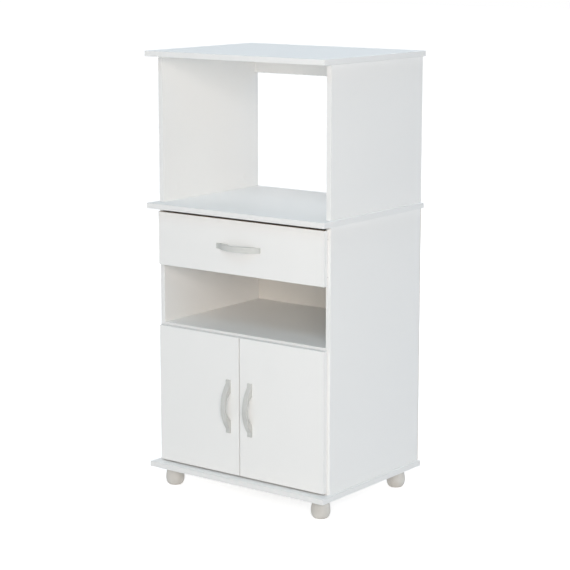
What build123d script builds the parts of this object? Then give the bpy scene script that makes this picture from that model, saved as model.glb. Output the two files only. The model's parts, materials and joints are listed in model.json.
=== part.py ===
from build123d import *
import os

# Microwave stand with a drawer, an open niche and two doors, in melamine-faced board.
# Millimetres, +Z up, the front towards -Y. Origin: middle of the footprint, on the floor.

# ---------------------------------------------------------------- carcass
board_width = 600.0          # top, middle and bottom board, left to right
board_depth = 463.0          # the same boards, front to back
board = 15.0                 # thickness of the melamine-faced board
hardboard = 3.0              # thickness of the back panel and of the drawer bottom
side_overhang = 9.5          # boards past the side panels, on each side
front_overhang = 43.0        # boards past the front edges of the side panels
foot_height = 55.0
cupboard_height = 380.0      # bottom board to fixed shelf
lower_side_height = 716.0    # bottom board to middle board
upper_side_height = 398.0    # middle board to top board
rail_height = 68.0           # stiffening rail at the top of the microwave bay's back
rail_cam_drop = 44.0         # rail's cam bolts under the top board
rail_dowel_drop = 20.0
edge_ease = 0.6              # eased edges of the taped boards
back_panel_inset = 1.5       # back panel's edges inside the side panels' outer faces
back_panel_lap = 12.0        # back panel over the back edges of middle and bottom board

# ---------------------------------------------------------------- fronts
front_reveal = 8.5           # side panels' front edges left bare beside the fronts
front_gap = 1.0              # between the side panels' front edges and the backs of the fronts
door_gap = 3.0               # between the two doors
door_floor_gap = 4.0         # under the doors
door_shelf_lap = 8.5         # doors over the front edge of the shelf
drawer_front_height = 147.0
drawer_front_gap = 10.0      # between the middle board and the drawer front

# ---------------------------------------------------------------- feet
foot_base_radius = 15.5      # flat ring that stands on the floor
foot_belly_radius = 26.2
foot_belly_height = 21.5
foot_top_radius = 17.5
foot_side_inset = 46.0       # foot's axis inside the bottom board's side edge
foot_front_inset = 53.5      # foot's axis behind the front edge, and before the back edge
foot_bore_radius = 6.0       # counterbore for the screw, from below
foot_web = 10.0              # solid top of the foot that the screw holds

# ---------------------------------------------------------------- fittings
dowel_radius = 4.0
dowel_length = 30.0
dowel_in_face = 10.0         # part of a dowel that sits in the face of a board
dowel_clearance = 0.1        # around a dowel and at each of its ends
dowel_inset = 100.0          # dowels from the front and back edges of a panel
dowel_stagger = 30.0         # dowels under the middle board, further in than those above it
cam_radius = 7.5
cam_depth = 12.0
cam_reach = 34.0             # cam's axis from the end of the panel
cam_inset = 60.0             # cams from the front and back edges of a panel
cam_clearance = 0.1
cam_play = 0.3               # around the bolt's head in the cam
cam_slot = 8.0               # cross slot in the cam's face
cam_cap_radius = 8.5
cam_cap_thickness = 0.8
bolt_thread_radius = 2.5
bolt_thread_length = 11.0
bolt_shank_radius = 3.0
bolt_head_radius = 3.8
bolt_head_length = 3.0
bolt_bore_radius = 4.0
screw_radius = 2.25
screw_head_radius = 4.5
screw_length = 50.0
screw_inset = 40.0           # screws from the front and back edges of a panel
screw_clearance = 0.05
foot_screw_length = 22.0
pan_screw_radius = 1.75
pan_head_radius = 3.4
pan_head = 0.8
pan_screw_length = 10.0
drive_width = 0.8            # cross recess of the screws

# ---------------------------------------------------------------- handles
handle_length = 148.0
handle_width = 15.6          # at the middle of the bow
handle_end_width = 14.4
handle_rise = 26.0           # top of the bow above the front
handle_strip = 4.0           # thickness of the bow
handle_spacing = 96.0        # between the two screws
handle_opening = 77.0        # finger gap, along the front
handle_tab_length = 11.0
handle_tab = 4.0             # thickness of the flat ends
handle_edge_round = 1.6
handle_screw_depth = 10.0    # screw's reach into the handle
handle_door_inset = 37.0     # handle's middle line from the middle of the doors
handle_door_drop = 194.5     # handle's middle below the door's top edge

# ---------------------------------------------------------------- drawer
drawer_side = 12.0           # thickness of the drawer's sides and back
drawer_side_height = 100.0
drawer_side_lift = 12.0      # drawer's sides above the lower edge of its front
drawer_length = 400.0        # sides and runners
drawer_screw_length = 40.0
drawer_screw_inset = 18.0    # screws of the drawer's back from its upper and lower edges
drawer_dowel_low = 30.0      # dowels of the drawer's front above the lower edges of the sides
drawer_dowel_high = 25.0     # and under their upper edges
groove_lift = 8.0            # bottom panel above the lower edges of the sides
groove_depth = 6.0
groove_clearance = 0.15      # around the bottom panel's edges

# ---------------------------------------------------------------- roller runners
runner_gap = 12.5            # between drawer side and side panel
runner_steel = 1.2
roller_radius = 8.0
roller_width = 6.8
roller_bore_radius = 2.05
roller_pin_radius = 2.0
roller_head_radius = 3.2
roller_head = 0.5
roller_gap = 0.2             # between a roller and its track
roller_hollow = 1.4          # depth of the recess in each face of a roller
roller_tread = 1.6           # wall outside the recess
roller_hub = 0.6             # wall inside it, past the pin's head
roller_draft = 0.8           # slope of the recess's walls
roller_ease = 0.5
runner_anti_tip = 1.0        # over the drawer member's flange
runner_flange_gap = 1.5      # between a flange's edge and the other member's web
runner_lip = 10.0            # seat under the drawer's side
runner_setback = 2.0         # cabinet runners behind the side panels' front edges
roller_side_gap = 0.1
roller_inset = 13.0          # roller's axis from the end of its member
roller_lift = 9.0            # rollers' axes above the drawer sides' lower edges
runner_screw_places = (60.0, 200.0, 340.0)   # from the front end of a runner
runner_screw_drop = 4.0      # drawer member's screws under its flange

# ---------------------------------------------------------------- concealed hinges
# Across a hinge, u runs from the door's outer edge inwards and v from the door's back face into
# the cupboard; w runs upwards from the hinge's middle. All (u, v) places are for the closed door.
hinge_inset = 90.0           # hinges from the door's upper and lower edges
outer_link_arm_pin = (30.31, 12.4)
outer_link_cup_pin = (10.51, -4.0)
outer_link_knees = ((15.09, -7.98), (22.5, -2.36))
inner_link_arm_pin = (37.0, 3.4)
inner_link_cup_pin = (15.5, -4.34)
inner_link_eye = (15.57, -5.58)
inner_link_knee = (25.63, -4.45)
link_eye_radius = 2.4
link_pin_radius = 1.25
link_pin_clearance = 0.05
outer_link_width = 2.8       # of each strip, seen along the pins
outer_link_inside = 6.0      # between the hinge's middle and a strip
outer_link_outside = 7.6
inner_link_thickness = 2.6
inner_link_half = 4.3        # half its size along the pins
inner_link_slot_radius = 2.75
inner_link_slot_rim = 3.7
inner_link_hub_half = 5.4
link_side_gap = 0.2
cup_radius = 17.5
cup_edge = 4.5               # between the door's outer edge and the cup
cup_depth = 12.0
cup_wall = 1.0
cup_floor = 0.8
cup_clearance = 0.1
cup_lug_inside = 4.6         # lugs that hold the inner link's pin, from the hinge's middle
cup_lug_outside = 5.6
cup_lug_radius = 2.2
cup_ear_start = 15.5
cup_ear_reach = 24.0         # cup screws above and below the cup's middle
cup_ear_radius = 6.0
cup_ear = 1.3
arm_inside = 8.0             # cheeks of the arm, from the hinge's middle
arm_outside = 9.2
arm_height = 12.5            # arm's back above the mounting plate
arm_nose = 3.9               # arm's front beyond the inner link's pin
arm_tip = 2.8                # arm's cheeks below the inner link's pin
arm_crank = 11.0             # arm's back rises by this towards its front
arm_crank_v = 24.0
arm_crank_length = 14.0
arm_throat = 5.0             # cheeks past the outer link's pin, towards the plate
arm_cheek = 2.9              # cheeks beside the pins
arm_setback = 3.0            # cheeks behind the plate's front end
arm_rivet = 0.6
arm_end = 64.0
arm_screw_v = 50.0
plate_thickness = 3.0
plate_start = 28.0
plate_end = 66.0
plate_half = 10.0
plate_wing_reach = 16.0      # plate screws above and below the hinge's middle
plate_wing_radius = 6.5
plate_wing_v = 37.0
arm_screw_radius = 2.0
arm_screw_head_radius = 3.8
arm_screw_head = 2.0
arm_screw_ease = 0.5
arm_screw_short = 0.3        # screw's end short of the side panel

# ---------------------------------------------------------------- worked-out planes
y_back = (board_depth + hardboard) / 2 - hardboard
y_front = y_back - board_depth
y_panel = y_front + front_overhang
y_fronts_back = y_panel - front_gap
y_fronts_face = y_fronts_back - board

x_outer = board_width / 2 - side_overhang
x_inner = x_outer - board
x_panel_middle = x_outer - board / 2
x_fronts = x_outer - front_reveal

z_bottom = foot_height
z_floor = z_bottom + board
z_shelf = z_floor + cupboard_height
z_niche = z_shelf + board
z_middle = z_floor + lower_side_height
z_bay = z_middle + board
z_top = z_bay + upper_side_height

z_door_low = z_floor + door_floor_gap
z_door_high = z_shelf + door_shelf_lap
z_drawer_high = z_middle - drawer_front_gap
z_drawer_low = z_drawer_high - drawer_front_height

drawer_outer = x_inner - runner_gap
drawer_inner = drawer_outer - drawer_side
z_side_low = z_drawer_low + drawer_side_lift
z_side_high = z_side_low + drawer_side_height
y_drawer_back = y_fronts_back + drawer_length
z_groove = z_side_low + groove_lift
z_roller = z_side_low + roller_lift

cup_middle = cup_edge + cup_radius
plate_top = x_fronts - x_inner + plate_thickness


# ---------------------------------------------------------------- shapes shared by many pieces
UP, DOWN = (0, 0, 1), (0, 0, -1)
LEFT, RIGHT = (-1, 0, 0), (1, 0, 0)
FORWARD, BACK = (0, -1, 0), (0, 1, 0)


def block(x0, x1, y0, y1, z0, z1):
    """A board between two corners."""
    return Pos((x0 + x1) / 2, (y0 + y1) / 2, (z0 + z1) / 2) * Box(abs(x1 - x0), abs(y1 - y0), abs(z1 - z0))


def rod(radius, start, direction, length):
    """A round pin or bore from a point, along a direction."""
    return extrude(Plane(origin=start, z_dir=direction) * Circle(radius), length)


def turned(profile, start, direction):
    """A turned piece: radius and height pairs from the axis out and back, set at a point."""
    lathe = make_face(Plane.XZ * Polyline(*profile, close=True))
    return Plane(origin=start, z_dir=direction).location * revolve(lathe, Axis.Z)


def eased(panel, *axes):
    """Takes the sharpness off a panel's edges that run along the given axes."""
    edges = ShapeList()
    for axis in axes:
        edges += panel.edges().filter_by(axis)
    return chamfer(edges, edge_ease)


def left_and_right(piece):
    """A piece and its mirror image in the other half of the stand."""
    return piece, mirror(piece, about=Plane.YZ)


def group(pieces):
    """Several like pieces in one node, each its own solid."""
    solids = ShapeList()
    for piece in pieces:
        solids += piece.solids()
    return Compound(children=list(solids))


def rows(inset):
    """Fitting places along a panel's depth, the same distance from its front and back edge."""
    return y_panel + inset, y_back - inset


# ---------------------------------------------------------------- fittings
def dowel(face, into_panel):
    """A beech dowel across a joint: its middle plane is the face of the drilled board."""
    x, y, z = face
    dx, dy, dz = into_panel
    start = (x - dx * dowel_in_face, y - dy * dowel_in_face, z - dz * dowel_in_face)
    peg = rod(dowel_radius, start, into_panel, dowel_length)
    return chamfer(peg.edges(), 1.0)


def dowel_bore(face, into_panel):
    """The hole for a dowel, through both boards."""
    x, y, z = face
    dx, dy, dz = into_panel
    reach = dowel_in_face + dowel_clearance
    start = (x - dx * reach, y - dy * reach, z - dz * reach)
    return rod(dowel_radius + dowel_clearance, start, into_panel, dowel_length + 2 * dowel_clearance)


def cam_bolt(face, into_panel):
    """The steel bolt of a cam fitting, screwed into a face and reaching into the cam."""
    neck = 2.2
    return turned(
        [
            (0, -bolt_thread_length),
            (bolt_thread_radius, -bolt_thread_length),
            (bolt_thread_radius, 0),
            (bolt_shank_radius, 0),
            (bolt_shank_radius, cam_reach - cam_radius - 1.0),
            (neck, cam_reach - cam_radius - 1.0),
            (neck, cam_reach - bolt_head_length),
            (bolt_head_radius, cam_reach - bolt_head_length),
            (bolt_head_radius, cam_reach),
            (0, cam_reach),
        ],
        face,
        into_panel,
    )


def cam_bolt_bores(face, into_panel):
    """The thread's hole in the face and the bolt's bore in the panel's end."""
    out_of_panel = tuple(-step for step in into_panel)
    thread = rod(bolt_thread_radius + screw_clearance, face, out_of_panel, bolt_thread_length + 0.5)
    shank = rod(bolt_bore_radius, face, into_panel, cam_reach)
    return thread, shank


def cam_lock(mouth, outward, into_panel):
    """The cam that draws the bolt in: a slotted drum, its mouth flush with the panel's face."""
    inward = tuple(-step for step in outward)
    drum = rod(cam_radius - cam_clearance, mouth, inward, cam_depth - cam_clearance)
    axes = Plane(origin=mouth, x_dir=into_panel, z_dir=outward)
    passage = 2 * bolt_head_radius + 2 * cam_play
    channel = axes * Pos(-cam_radius, 0, -board / 2) * Box(3 * cam_radius, passage, passage)
    slots = Box(cam_slot, 1.6, 4.0) + Box(1.6, cam_slot, 4.0)
    return drum - channel - axes * slots


def cam_bore(mouth, outward):
    """The cam's hole in the held panel, open on one face."""
    inward = tuple(-step for step in outward)
    return rod(cam_radius, mouth, inward, cam_depth)


def cam_cap(mouth, outward):
    """The white cap pressed over a cam."""
    cap = rod(cam_cap_radius, mouth, outward, cam_cap_thickness)
    rim = cap.faces().sort_by(Axis(mouth, outward))[-1].edges()
    return chamfer(rim, cam_cap_thickness / 2)


def drive(top, direction, reach):
    """The cross recess in a screw's head."""
    slots = Box(reach, drive_width, reach / 2) + Box(drive_width, reach, reach / 2)
    return Plane(origin=top, z_dir=direction) * slots


def countersunk_screw(seat, direction, length):
    cone = screw_head_radius - screw_radius
    shape = turned(
        [
            (0, 0),
            (screw_head_radius, 0),
            (screw_radius, cone),
            (screw_radius, length - screw_radius),
            (0, length),
        ],
        seat,
        direction,
    )
    return shape - drive(seat, direction, screw_head_radius)


def countersunk_bore(seat, direction, length):
    """A hole for a countersunk screw, open towards its head."""
    cone = screw_head_radius - screw_radius
    bore = screw_radius + screw_clearance
    return turned(
        [
            (0, -1),
            (screw_head_radius + screw_clearance, -1),
            (screw_head_radius + screw_clearance, 0),
            (bore, cone),
            (bore, length + screw_clearance),
            (0, length + screw_clearance),
        ],
        seat,
        direction,
    )


def pan_screw(seat, direction, length=pan_screw_length):
    """A pan-head screw, its head resting on the seat."""
    shape = turned(
        [
            (0, -pan_head),
            (pan_head_radius - 0.4, -pan_head),
            (pan_head_radius, -pan_head / 2),
            (pan_head_radius, 0),
            (pan_screw_radius, 0),
            (pan_screw_radius, length - pan_screw_radius),
            (0, length),
        ],
        seat,
        direction,
    )
    dx, dy, dz = direction
    top = (seat[0] - dx * pan_head, seat[1] - dy * pan_head, seat[2] - dz * pan_head)
    return shape - drive(top, direction, 1.0)


def pan_bore(seat, direction, length=pan_screw_length):
    return rod(pan_screw_radius + screw_clearance, seat, direction, length + screw_clearance)


# ---------------------------------------------------------------- joints of the carcass
def mirrored(places):
    """The same fitting places on both sides of the stand."""
    return [(sx * x, y, z) for x, y, z in places for sx in (-1, 1)]


def inward_from(x):
    return LEFT if x > 0 else RIGHT


top_joints = mirrored([(x_panel_middle, y, z_top) for y in rows(cam_inset)])
bay_joints = mirrored([(x_panel_middle, y, z_bay) for y in rows(cam_inset)])
shelf_joints = mirrored([(x_inner, y, z_shelf + board / 2) for y in rows(cam_inset)])
rail_joints = mirrored([(x_inner, y_back - board / 2, z_top - rail_cam_drop)])

top_dowels = mirrored([(x_panel_middle, y, z_top) for y in rows(dowel_inset)])
bay_dowels = mirrored([(x_panel_middle, y, z_bay) for y in rows(dowel_inset)])
middle_dowels = mirrored([(x_panel_middle, y, z_middle) for y in rows(dowel_inset + dowel_stagger)])
floor_dowels = mirrored([(x_panel_middle, y, z_floor) for y in rows(dowel_inset)])
shelf_dowels = mirrored([(x_inner, y, z_shelf + board / 2) for y in rows(dowel_inset)])
rail_dowels = mirrored([(x_inner, y_back - board / 2, z_top - rail_dowel_drop)])

middle_screws = mirrored([(x_panel_middle, y, z_bay) for y in rows(screw_inset)])
floor_screws = mirrored([(x_panel_middle, y, z_bottom) for y in rows(screw_inset)])

foot_places = {
    "foot_front_left": (-board_width / 2 + foot_side_inset, y_front + foot_front_inset),
    "foot_front_right": (board_width / 2 - foot_side_inset, y_front + foot_front_inset),
    "foot_back_left": (-board_width / 2 + foot_side_inset, y_back - foot_front_inset),
    "foot_back_right": (board_width / 2 - foot_side_inset, y_back - foot_front_inset),
}


def cam_joints():
    """Every cam joint: place on the drilled face, way into the held panel, face the cam opens on."""
    joints = []
    for x, y, z in top_joints:
        joints.append(((x, y, z), DOWN, inward_from(x)))
    for x, y, z in bay_joints:
        joints.append(((x, y, z), UP, inward_from(x)))
    for x, y, z in shelf_joints:
        joints.append(((x, y, z), inward_from(x), DOWN))
    for x, y, z in rail_joints:
        joints.append(((x, y, z), inward_from(x), BACK))
    return joints


def dowel_joints():
    joints = [(place, DOWN) for place in top_dowels + middle_dowels]
    joints += [(place, UP) for place in bay_dowels + floor_dowels]
    joints += [(place, inward_from(place[0])) for place in shelf_dowels + rail_dowels]
    return joints


def cam_mouth(face, into_panel, outward):
    """Middle of a cam's open end, on the face of the held panel."""
    x, y, z = (a + b * cam_reach + c * board / 2 for a, b, c in zip(face, into_panel, outward))
    return x, y, z


def drilled(panel, cams=(), dowels=()):
    """A carcass panel with the holes of the cam and dowel joints that touch it."""
    for face, into_panel, outward in cams:
        thread, shank = cam_bolt_bores(face, into_panel)
        panel = panel - thread - shank - cam_bore(cam_mouth(face, into_panel, outward), outward)
    for face, into_panel in dowels:
        panel = panel - dowel_bore(face, into_panel)
    return panel


def joints_at(joints, places):
    return [joint for joint in joints if joint[0] in places]


# ---------------------------------------------------------------- carcass boards
def full_board(z_low):
    """One of the three boards as large as the stand's plan, all its edges taped and eased."""
    board_block = block(-board_width / 2, board_width / 2, y_front, y_back, z_low, z_low + board)
    return eased(board_block, Axis.X, Axis.Y, Axis.Z)


def carcass():
    cams = cam_joints()
    dowels = dowel_joints()
    parts = {}

    top = full_board(z_top)
    parts["top_board"] = drilled(top, joints_at(cams, top_joints), joints_at(dowels, top_dowels))

    middle = full_board(z_middle)
    middle = drilled(middle, joints_at(cams, bay_joints), joints_at(dowels, bay_dowels + middle_dowels))
    for place in middle_screws:
        middle = middle - countersunk_bore(place, DOWN, screw_length)
    parts["middle_board"] = middle

    bottom = drilled(full_board(z_bottom), dowels=joints_at(dowels, floor_dowels))
    for place in floor_screws:
        bottom = bottom - countersunk_bore(place, UP, screw_length)
    foot_thread = foot_screw_length - foot_web + 1.0
    for x, y in foot_places.values():
        bottom = bottom - rod(screw_radius + screw_clearance, (x, y, z_bottom), UP, foot_thread)
    parts["bottom_board"] = bottom

    upper = eased(block(x_inner, x_outer, y_panel, y_back, z_bay, z_top), Axis.Z)
    upper = drilled(
        upper,
        joints_at(cams, top_joints + bay_joints + rail_joints),
        joints_at(dowels, top_dowels + bay_dowels + rail_dowels),
    )
    parts["upper_side_left"], parts["upper_side_right"] = sides(upper)

    lower = eased(block(x_inner, x_outer, y_panel, y_back, z_floor, z_middle), Axis.Z)
    lower = drilled(
        lower,
        joints_at(cams, shelf_joints),
        joints_at(dowels, floor_dowels + middle_dowels + shelf_dowels),
    )
    for places, direction in ((middle_screws, DOWN), (floor_screws, UP)):
        for place in [place for place in places if place[0] > 0]:
            bore = rod(screw_radius + screw_clearance, place, direction, screw_length + screw_clearance)
            lower = lower - bore
    for seat in cabinet_runner_screw_seats() + plate_screw_seats():
        lower = lower - pan_bore(seat, RIGHT)
    parts["lower_side_left"], parts["lower_side_right"] = sides(lower)

    shelf = eased(block(-x_inner, x_inner, y_panel, y_back, z_shelf, z_niche), Axis.X)
    parts["niche_shelf"] = drilled(shelf, joints_at(cams, shelf_joints), joints_at(dowels, shelf_dowels))

    rail = eased(block(-x_inner, x_inner, y_back - board, y_back, z_top - rail_height, z_top), Axis.X)
    parts["bay_back_rail"] = drilled(rail, joints_at(cams, rail_joints), joints_at(dowels, rail_dowels))

    parts["back_panel"] = block(
        back_panel_inset - x_outer,
        x_outer - back_panel_inset,
        y_back,
        y_back + hardboard,
        z_floor - back_panel_lap,
        z_middle + back_panel_lap,
    )
    return parts


def sides(right_panel):
    """The left and the right piece, made from the right one."""
    right_piece, left_piece = left_and_right(right_panel)
    return left_piece, right_piece


def carcass_fittings():
    cams = cam_joints()
    locks, bolts, caps = [], [], []
    for face, into_panel, outward in cams:
        mouth = cam_mouth(face, into_panel, outward)
        locks.append(cam_lock(mouth, outward, into_panel))
        bolts.append(cam_bolt(face, into_panel))
        caps.append(cam_cap(mouth, outward))
    screws = [countersunk_screw(place, DOWN, screw_length) for place in middle_screws]
    screws += [countersunk_screw(place, UP, screw_length) for place in floor_screws]
    return {
        "cam_locks": group(locks),
        "cam_bolts": group(bolts),
        "cam_caps": group(caps),
        "carcass_dowels": group([dowel(face, into_panel) for face, into_panel in dowel_joints()]),
        "board_screws": group(screws),
    }


# ---------------------------------------------------------------- feet
def foot(x, y):
    """A turned barrel foot, counterbored from below for its screw."""
    bore = screw_radius + screw_clearance
    web = foot_height - foot_web
    swell = foot_belly_radius - foot_base_radius
    belly = (foot_belly_radius, foot_belly_height)
    outline = Curve() + [
        Line((foot_bore_radius, 0), (foot_base_radius, 0)),
        EllipticalCenterArc(
            (foot_base_radius, foot_belly_height),
            swell,
            foot_belly_height,
            start_angle=-90,
            arc_size=90,
        ),
        TangentArc(belly, (foot_top_radius, foot_height), tangent=(0, 1)),
        Polyline(
            (foot_top_radius, foot_height),
            (bore, foot_height),
            (bore, web),
            (foot_bore_radius, web),
            (foot_bore_radius, 0),
        ),
    ]
    return Pos(x, y, 0) * revolve(make_face(Plane.XZ * outline), Axis.Z)


def feet():
    parts = {name: foot(x, y) for name, (x, y) in foot_places.items()}
    web = foot_height - foot_web
    screws = [pan_screw((x, y, web), UP, foot_screw_length) for x, y in foot_places.values()]
    parts["foot_screws"] = group(screws)
    return parts


# ---------------------------------------------------------------- handles
def handle(centre, along, sideways):
    """A bow handle, widest at its middle, with flat ends and a pilot hole in each leg."""
    end = handle_length / 2
    shoulder = end - handle_tab_length
    inner = handle_opening / 2
    outline = Curve() + [
        Polyline((inner, 0), (end, 0), (end, handle_tab), (shoulder, handle_tab)),
        ThreePointArc((shoulder, handle_tab), (0, handle_rise), (-shoulder, handle_tab)),
        Polyline((-shoulder, handle_tab), (-end, handle_tab), (-end, 0), (-inner, 0)),
        ThreePointArc((-inner, 0), (0, handle_rise - handle_strip), (inner, 0)),
    ]
    half, tip = handle_width / 2, handle_end_width / 2
    plan = Curve() + [
        ThreePointArc((end, tip), (0, half), (-end, tip)),
        Line((-end, tip), (-end, -tip)),
        ThreePointArc((-end, -tip), (0, -half), (end, -tip)),
        Line((end, -tip), (end, tip)),
    ]
    bow = extrude(make_face(outline), half, both=True) & extrude(make_face(Plane.XZ * plan), -handle_rise)
    faces = bow.faces().sort_by(Axis.Z)
    bow = fillet(faces[0].edges() + faces[-1].edges(), handle_edge_round)
    for side in (-1, 1):
        pilot = (side * handle_spacing / 2, 0, 0)
        bow -= rod(pan_screw_radius + screw_clearance, pilot, BACK, handle_screw_depth)
    return Plane(origin=centre, x_dir=along, z_dir=sideways).location * bow


def handle_screw_seats(x, z, upright):
    """Heads of a handle's screws, on the back of its front."""
    reach = handle_spacing / 2
    if upright:
        return [(x, y_fronts_back, z - reach), (x, y_fronts_back, z + reach)]
    return [(x - reach, y_fronts_back, z), (x + reach, y_fronts_back, z)]


def handle_bores(front, seats):
    for seat in seats:
        front = front - pan_bore(seat, FORWARD, board)
    return front


z_drawer_handle = (z_drawer_low + z_drawer_high) / 2
z_door_handle = z_door_high - handle_door_drop
drawer_handle_seats = handle_screw_seats(0, z_drawer_handle, upright=False)
handle_screw_length = board + handle_screw_depth - 1.0


# ---------------------------------------------------------------- drawer
y_drawer_back_inner = y_drawer_back - drawer_side
z_groove_top = z_groove + hardboard + 2 * groove_clearance
drawer_front_dowels = [
    (side * (drawer_outer - drawer_side / 2), y_fronts_back, z)
    for side in (-1, 1)
    for z in (z_side_low + drawer_dowel_low, z_side_high - drawer_dowel_high)
]
drawer_back_screws = [z_groove_top + drawer_screw_inset, z_side_high - drawer_screw_inset]


def drawer():
    parts = {}
    front = block(-x_fronts, x_fronts, y_fronts_face, y_fronts_back, z_drawer_low, z_drawer_high)
    front = eased(front, Axis.X, Axis.Y, Axis.Z)
    groove_end = drawer_inner + groove_depth
    y_groove = y_fronts_back - groove_depth
    front = front - block(-groove_end, groove_end, y_groove, y_fronts_back + 1.0, z_groove, z_groove_top)
    front = handle_bores(front, drawer_handle_seats)
    for place in drawer_front_dowels:
        front = front - dowel_bore(place, BACK)
    parts["drawer_front"] = front

    side = block(drawer_inner, drawer_outer, y_fronts_back, y_drawer_back, z_side_low, z_side_high)
    side = eased(side, Axis.Y)
    y_past = y_drawer_back + 1.0
    side = side - block(drawer_inner - 1.0, groove_end, y_fronts_back - 1.0, y_past, z_groove, z_groove_top)
    for place in drawer_front_dowels:
        if place[0] > 0:
            side = side - dowel_bore(place, BACK)
    y_back_middle = y_drawer_back - drawer_side / 2
    for z in drawer_back_screws:
        side = side - countersunk_bore((drawer_outer, y_back_middle, z), LEFT, drawer_screw_length)
    for seat in drawer_runner_screw_seats():
        side = side - pan_bore(seat, LEFT)
    parts["drawer_side_left"], parts["drawer_side_right"] = sides(side)

    back = block(-drawer_inner, drawer_inner, y_drawer_back_inner, y_drawer_back, z_groove_top, z_side_high)
    back = eased(back, Axis.X)
    screws = []
    for z in drawer_back_screws:
        for side_sign, direction in ((1, LEFT), (-1, RIGHT)):
            seat = (side_sign * drawer_outer, y_back_middle, z)
            back = back - countersunk_bore(seat, direction, drawer_screw_length)
            screws.append(countersunk_screw(seat, direction, drawer_screw_length))
    parts["drawer_back"] = back
    parts["drawer_screws"] = group(screws)

    reach = groove_end - groove_clearance
    parts["drawer_bottom"] = block(
        -reach,
        reach,
        y_groove + groove_clearance,
        y_drawer_back,
        z_groove + groove_clearance,
        z_groove + groove_clearance + hardboard,
    )
    parts["drawer_dowels"] = group([dowel(place, BACK) for place in drawer_front_dowels])
    parts["drawer_handle"] = handle((0, y_fronts_face, z_drawer_handle), (1, 0, 0), (0, 0, -1))
    screws = [pan_screw(seat, FORWARD, handle_screw_length) for seat in drawer_handle_seats]
    parts["drawer_handle_screws"] = group(screws)
    return parts


# ---------------------------------------------------------------- roller runners
z_track = z_roller - roller_radius - roller_gap
z_drawer_flange = z_roller + roller_radius + roller_gap
z_anti_tip = z_drawer_flange + runner_steel + runner_anti_tip
y_runner = y_panel + runner_setback
x_cabinet_web = x_inner - runner_steel
x_drawer_web = drawer_outer + runner_steel
x_roller_in = (x_drawer_web + x_cabinet_web - roller_width) / 2
y_cabinet_roller = y_runner + roller_inset
y_drawer_roller = y_drawer_back - roller_inset


def cabinet_runner_screw_seats():
    z = (z_track + z_anti_tip) / 2
    return [(x_inner - runner_steel, y_runner + place, z) for place in runner_screw_places]


def drawer_runner_screw_seats():
    z = z_drawer_flange - runner_screw_drop
    return [(drawer_outer + runner_steel, y_fronts_back + place, z) for place in runner_screw_places]


def roller_pin(x_from, direction, y):
    """The pin a roller turns on: a shoulder at the runner's web, the journal and its head."""
    shoulder = (x_cabinet_web - x_drawer_web - roller_width) / 2 - roller_side_gap
    journal = shoulder + roller_width + 2 * roller_side_gap
    return turned(
        [
            (0, 0),
            (roller_head_radius, 0),
            (roller_head_radius, shoulder),
            (roller_pin_radius, shoulder),
            (roller_pin_radius, journal),
            (roller_head_radius, journal),
            (roller_head_radius, journal + roller_head),
            (0, journal + roller_head),
        ],
        (x_from, y, z_roller),
        direction,
    )


def roller(y):
    """A nylon roller with a recess in each face, turning about the X axis."""
    rim = roller_radius - roller_tread
    hub = roller_head_radius + roller_hub
    return turned(
        [
            (roller_bore_radius, 0),
            (hub, 0),
            (hub + roller_draft, roller_hollow),
            (rim - roller_draft, roller_hollow),
            (rim, 0),
            (roller_radius - roller_ease, 0),
            (roller_radius, roller_ease),
            (roller_radius, roller_width - roller_ease),
            (roller_radius - roller_ease, roller_width),
            (rim, roller_width),
            (rim - roller_draft, roller_width - roller_hollow),
            (hub + roller_draft, roller_width - roller_hollow),
            (hub, roller_width),
            (roller_bore_radius, roller_width),
        ],
        (x_roller_in, y, z_roller),
        RIGHT,
    )


def runners():
    parts = {}
    y_end = y_runner + drawer_length
    flange = x_drawer_web + runner_flange_gap
    z_under, z_over = z_track - runner_steel, z_anti_tip + runner_steel
    cabinet = block(x_cabinet_web, x_inner, y_runner, y_end, z_under, z_over)
    cabinet += block(flange, x_cabinet_web, y_runner, y_end, z_under, z_track)
    cabinet += block(flange, x_cabinet_web, y_runner, y_end, z_anti_tip, z_over)
    cabinet += roller_pin(x_cabinet_web, LEFT, y_cabinet_roller)
    for seat in cabinet_runner_screw_seats():
        cabinet -= rod(pan_screw_radius + screw_clearance, seat, RIGHT, runner_steel)
    parts["runner_cabinet_left"], parts["runner_cabinet_right"] = sides(cabinet)

    drawer_flange = x_cabinet_web - runner_flange_gap
    lip = drawer_outer - runner_lip
    z_member_top = z_drawer_flange + runner_steel
    member = block(drawer_outer, x_drawer_web, y_fronts_back, y_drawer_back, z_side_low, z_member_top)
    member += block(lip, x_drawer_web, y_fronts_back, y_drawer_back, z_side_low - runner_steel, z_side_low)
    member += block(x_drawer_web, drawer_flange, y_fronts_back, y_drawer_back, z_drawer_flange, z_member_top)
    member += roller_pin(x_drawer_web, RIGHT, y_drawer_roller)
    for seat in drawer_runner_screw_seats():
        member -= rod(pan_screw_radius + screw_clearance, seat, LEFT, runner_steel)
    parts["runner_drawer_left"], parts["runner_drawer_right"] = sides(member)

    parts["cabinet_rollers"] = group(left_and_right(roller(y_cabinet_roller)))
    parts["drawer_rollers"] = group(left_and_right(roller(y_drawer_roller)))
    screws = [pan_screw(seat, RIGHT) for seat in cabinet_runner_screw_seats()]
    parts["runner_cabinet_screws"] = group(screws + [mirror(screw, about=Plane.YZ) for screw in screws])
    screws = [pan_screw(seat, LEFT) for seat in drawer_runner_screw_seats()]
    parts["runner_drawer_screws"] = group(screws + [mirror(screw, about=Plane.YZ) for screw in screws])
    return parts


# ---------------------------------------------------------------- hinges, set out for the right door
hinge_heights = (z_door_low + hinge_inset, z_door_high - hinge_inset)


def hinge_axes(height):
    """The hinge's (u, v, w) frame on the right door: u towards the middle, v into the cupboard."""
    return Plane(origin=(x_fronts, y_fronts_back, height), x_dir=(-1, 0, 0), z_dir=(0, 0, -1)).location


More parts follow.
